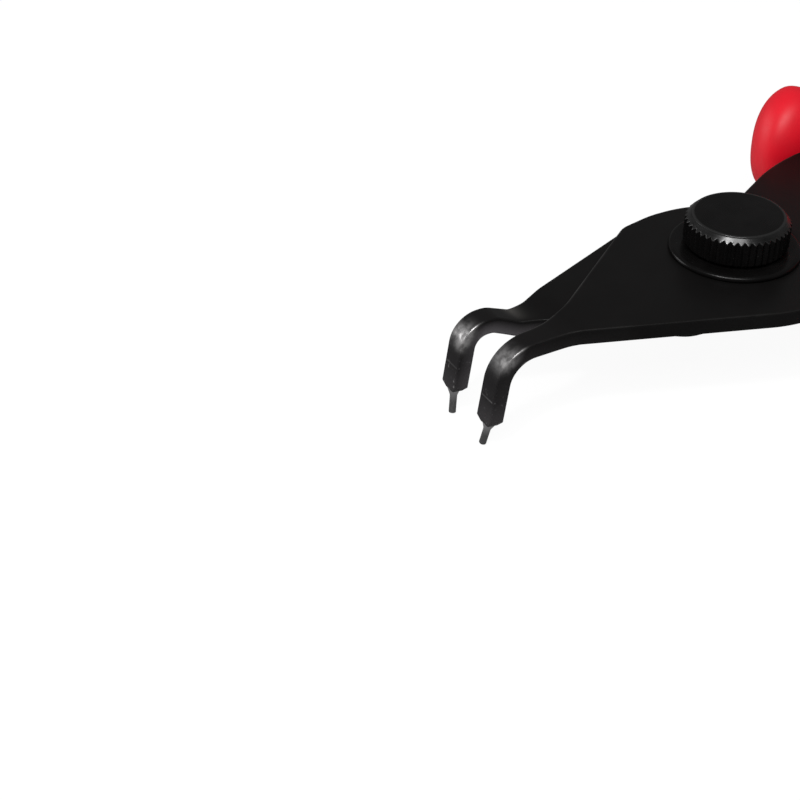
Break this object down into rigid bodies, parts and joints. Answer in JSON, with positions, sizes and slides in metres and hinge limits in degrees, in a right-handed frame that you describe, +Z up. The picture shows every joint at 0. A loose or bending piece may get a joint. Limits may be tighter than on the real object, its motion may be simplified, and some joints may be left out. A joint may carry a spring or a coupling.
{
  "type": "circlip pliers",
  "caption": "Bent-nose circlip pliers: crossing black plate levers with turned-down tips and slim pins, a knurled thumb screw on the pivot, a coil return spring and red moulded grips.",
  "frame": {"origin": "centre of the flat underside of the pivot post", "axes": "+X along the tool from the pivot to the handles, +Y to the side of the lower lever's jaw, +Z up the pivot to the thumb screw"},
  "size_m": [0.1996, 0.0852, 0.0303],
  "materials": {
    "black_plate": "satin black oxide",
    "black_turned": "glossy black oxide",
    "pin_steel": "ground",
    "spring_steel": "drawn wire",
    "red_grip": "smooth moulding"
  },
  "bodies": {
    "lower_lever": {"lower_lever": "black_plate", "far_tip_pin": "pin_steel", "pivot_post": "black_turned", "return_spring": "spring_steel", "lower_grip": "red_grip"},
    "upper_lever": {"upper_lever": "black_plate", "near_tip_pin": "pin_steel", "upper_grip": "red_grip"},
    "washer": {"washer": "black_turned"},
    "thumb_screw": {"thumb_screw": "black_turned"}
  },
  "joints": [
    {"name": "lever_pivot", "type": "hinge", "parent": "lower_lever", "child": "upper_lever", "pos_m": [0, 0, 0.005], "axis": [0, 0, 1], "range_deg": [-7, 8], "stiffness_Nm_per_rad": 3, "deforming": ["return_spring"]},
    {"name": "screw_lift", "type": "slide", "parent": "lower_lever", "child": "washer", "axis": [0, 0, 1], "range_m": [0, 0.003]},
    {"name": "screw_turn", "type": "hinge", "parent": "washer", "child": "thumb_screw", "pos_m": [0, 0, 0.008], "axis": [0, 0, 1], "range_deg": [0, 1090]}
  ],
  "couplings": [
    {"joint": "screw_turn", "follows": "screw_lift", "rad_per_m": 6283.2}
  ]
}
